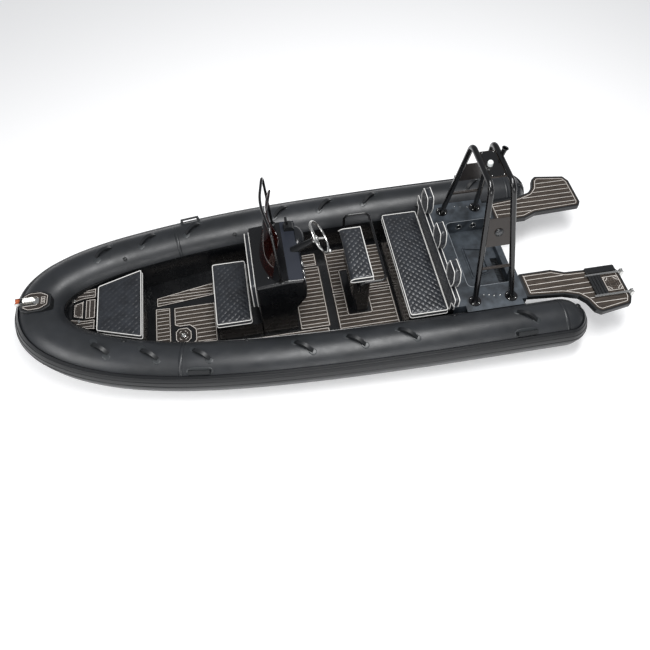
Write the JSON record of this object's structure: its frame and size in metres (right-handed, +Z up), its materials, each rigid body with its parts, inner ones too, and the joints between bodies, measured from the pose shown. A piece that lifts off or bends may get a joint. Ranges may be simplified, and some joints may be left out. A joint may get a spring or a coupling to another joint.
{
  "type": "rigid inflatable boat",
  "caption": "Rigid inflatable boat: V hull with inflatable collar, console, seats, arch, swim platforms and fold-out ladder.",
  "frame": {"origin": "centreline at the waterline, below the transom's aft face", "axes": "+X to the bow, +Y to port, +Z up"},
  "size_m": [6.7404, 2.5306, 2.3799],
  "materials": {
    "collar_rubber": "satin coated fabric",
    "strake_rubber": "moulded, satin",
    "hull_gelcoat": "gloss gelcoat",
    "liner_black": "gloss gelcoat",
    "floor_pad": "brushed foam sheet with pale grooves",
    "deck_pad": "brushed foam sheet with pale grooves",
    "deck_grey": "gelcoat, satin",
    "quilted_vinyl": "quilted vinyl with white piping",
    "console_black": "gloss gelcoat",
    "powder_coat": "gloss black powder coat",
    "smoked_acrylic": "smoked acrylic",
    "stainless": "polished stainless steel",
    "platform_black": "moulded, satin",
    "lamp_white": "white navigation light lens",
    "roller_rubber": "moulded"
  },
  "bodies": {
    "boat": {"tube_port": "collar_rubber", "tube_starboard": "collar_rubber", "tube_bow": "collar_rubber", "rubbing_strake": "strake_rubber", "hull": "hull_gelcoat", "liner_port": "liner_black", "liner_starboard": "liner_black", "liner_bow": "liner_black", "cockpit_floor": "floor_pad", "transom": "deck_grey", "foredeck": "deck_pad", "bow_locker": "liner_black", "console": "console_black", "console_seat_locker": "console_black", "console_backrest": "quilted_vinyl", "windscreen_frame": "powder_coat", "windscreen": "smoked_acrylic", "steering_boss": "console_black", "arch_light": "lamp_white", "throttle": "console_black", "helm_seat_base": "console_black", "helm_seat_cushion": "quilted_vinyl", "helm_seat_rail": "powder_coat", "bench_base": "liner_black", "bench_backrest": "quilted_vinyl", "back_bolsters": "quilted_vinyl", "stern_deck": "deck_grey", "arch_front_hoop": "powder_coat", "arch_rear_hoop": "powder_coat", "arch_plates": "powder_coat", "swim_platform_port": "platform_black", "swim_platform_starboard": "platform_black", "ladder_hinge": "stainless", "bow_step": "platform_black", "bow_roller_bracket": "stainless", "grab_handles": "strake_rubber"},
    "anchor_hatch": {"anchor_hatch_lid": "deck_pad"},
    "bow_locker_top": {"bow_locker_lid": "liner_black", "bow_cushion": "quilted_vinyl"},
    "console_seat_top": {"console_seat_lid": "liner_black", "console_seat_cushion": "quilted_vinyl"},
    "bench_top": {"bench_lid": "liner_black", "bench_cushion": "quilted_vinyl"},
    "stern_hatch": {"stern_hatch_lid": "deck_grey"},
    "ladder": {"swim_ladder": "stainless"},
    "wheel": {"steering_wheel": "stainless"},
    "roller": {"bow_roller": "roller_rubber"}
  },
  "joints": [
    {"name": "anchor_hatch_hinge", "type": "hinge", "parent": "boat", "child": "anchor_hatch", "pos_m": [4.845, 0, 0.44], "axis": [0, -1, 0], "range_deg": [0, 100]},
    {"name": "bow_locker_hinge", "type": "hinge", "parent": "boat", "child": "bow_locker_top", "pos_m": [4.215, 0, 0.365], "axis": [0, -1, 0], "range_deg": [0, 75]},
    {"name": "console_seat_hinge", "type": "hinge", "parent": "boat", "child": "console_seat_top", "pos_m": [3.025, 0, 0.315], "axis": [0, -1, 0], "range_deg": [0, 68]},
    {"name": "bench_hinge", "type": "hinge", "parent": "boat", "child": "bench_top", "pos_m": [1.33, 0, 0.43], "axis": [0, 1, 0], "range_deg": [0, 92]},
    {"name": "stern_hatch_hinge", "type": "hinge", "parent": "boat", "child": "stern_hatch", "pos_m": [0.41, 0, 0.3], "axis": [0, 1, 0], "range_deg": [0, 95]},
    {"name": "ladder_hinge_joint", "type": "hinge", "parent": "boat", "child": "ladder", "pos_m": [-1.157, 0, 0.5255], "axis": [0, -1, 0], "range_deg": [0, 255]},
    {"name": "steering", "type": "hinge", "parent": "boat", "child": "wheel", "pos_m": [2.2, 0, 1.14], "axis": [-0.866, 0, 0.5], "range_deg": [-540, 540]},
    {"name": "roller_spin", "type": "hinge", "parent": "boat", "child": "roller", "pos_m": [5.448, 0, 0.736], "axis": [0, 1, 0], "continuous": true}
  ]
}
